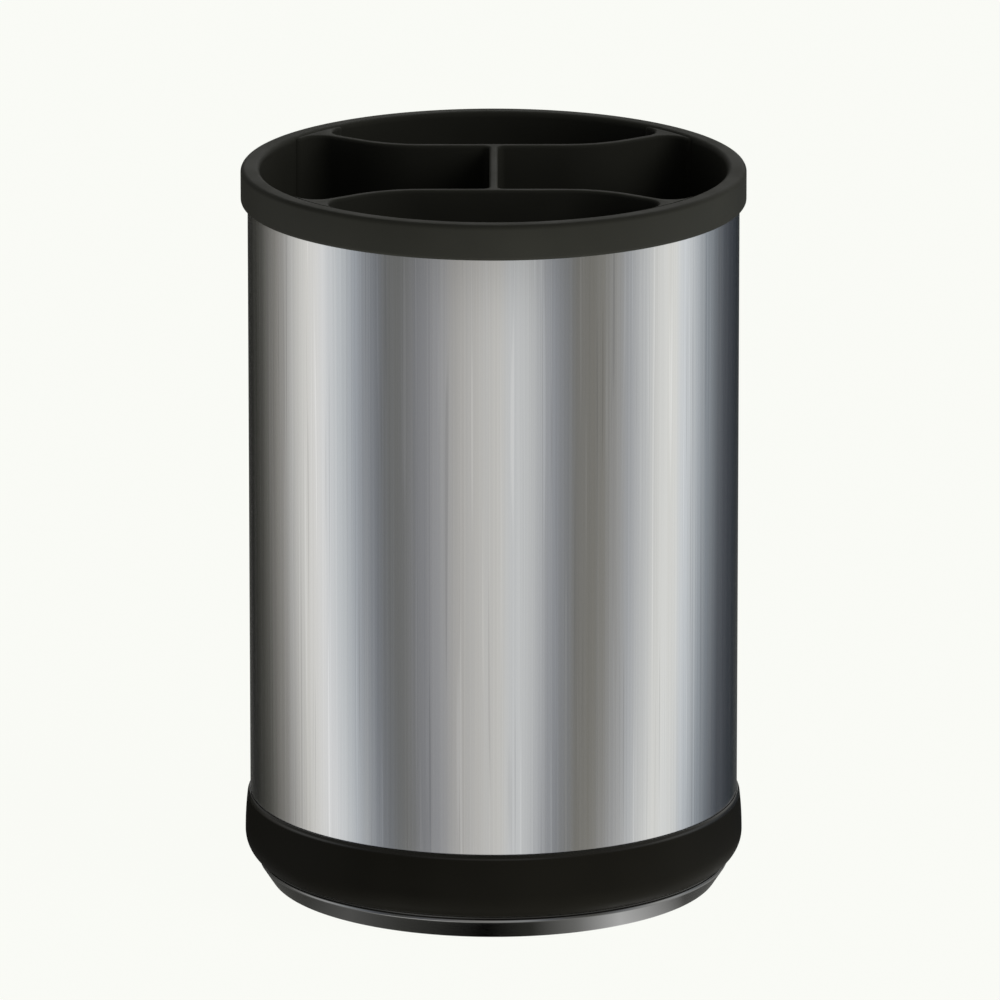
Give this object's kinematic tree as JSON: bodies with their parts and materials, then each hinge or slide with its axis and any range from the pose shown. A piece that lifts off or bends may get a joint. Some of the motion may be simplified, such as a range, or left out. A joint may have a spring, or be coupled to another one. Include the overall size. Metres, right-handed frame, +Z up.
{
  "type": "rotating utensil holder",
  "caption": "Round brushed steel utensil holder with a black rim, a black base band and a lift-out compartment divider, turning on a ball-bearing foot.",
  "frame": {"origin": "middle of the standing surface, on the axis of turning", "axes": "+Z up along the axis of turning, +X along the bowed divider walls, -Y towards the pictured front"},
  "size_m": [0.118, 0.118, 0.1725],
  "materials": {
    "liner_black": "satin moulded black",
    "brushed_steel": "fine upright brushing",
    "base_black": "satin moulded black",
    "foot_gloss": "glossy black",
    "pad_rubber": "matte",
    "race_steel": "pressed steel",
    "ball_steel": "polished",
    "cage_nylon": "natural nylon",
    "plate_iron": "oiled steel plate",
    "zinc_screw": "zinc plated"
  },
  "bodies": {
    "foot": {"turntable_foot": "foot_gloss", "lower_race": "race_steel", "anti_slip_pads": "pad_rubber"},
    "canister": {"inner_liner": "liner_black", "steel_sleeve": "brushed_steel", "base_cup": "base_black", "weight_plate": "plate_iron", "base_screws": "zinc_screw", "upper_race": "race_steel", "pivot_screw": "zinc_screw", "pivot_washer": "zinc_screw"},
    "ball_ring": {"ball_cage": "cage_nylon", "steel_balls": "ball_steel"},
    "divider_insert": {"divider": "liner_black"}
  },
  "joints": [
    {"name": "turntable_spin", "type": "hinge", "parent": "foot", "child": "canister", "pos_m": [0, 0, 0.006], "axis": [0, 0, 1], "continuous": true},
    {"name": "ball_orbit", "type": "hinge", "parent": "foot", "child": "ball_ring", "pos_m": [0, 0, 0.006], "axis": [0, 0, 1], "continuous": true},
    {"name": "divider_lift", "type": "slide", "parent": "canister", "child": "divider_insert", "axis": [0, 0, 1], "range_m": [0, 0.155]}
  ],
  "couplings": [
    {"joint": "ball_orbit", "follows": "turntable_spin", "ratio": 0.5}
  ]
}
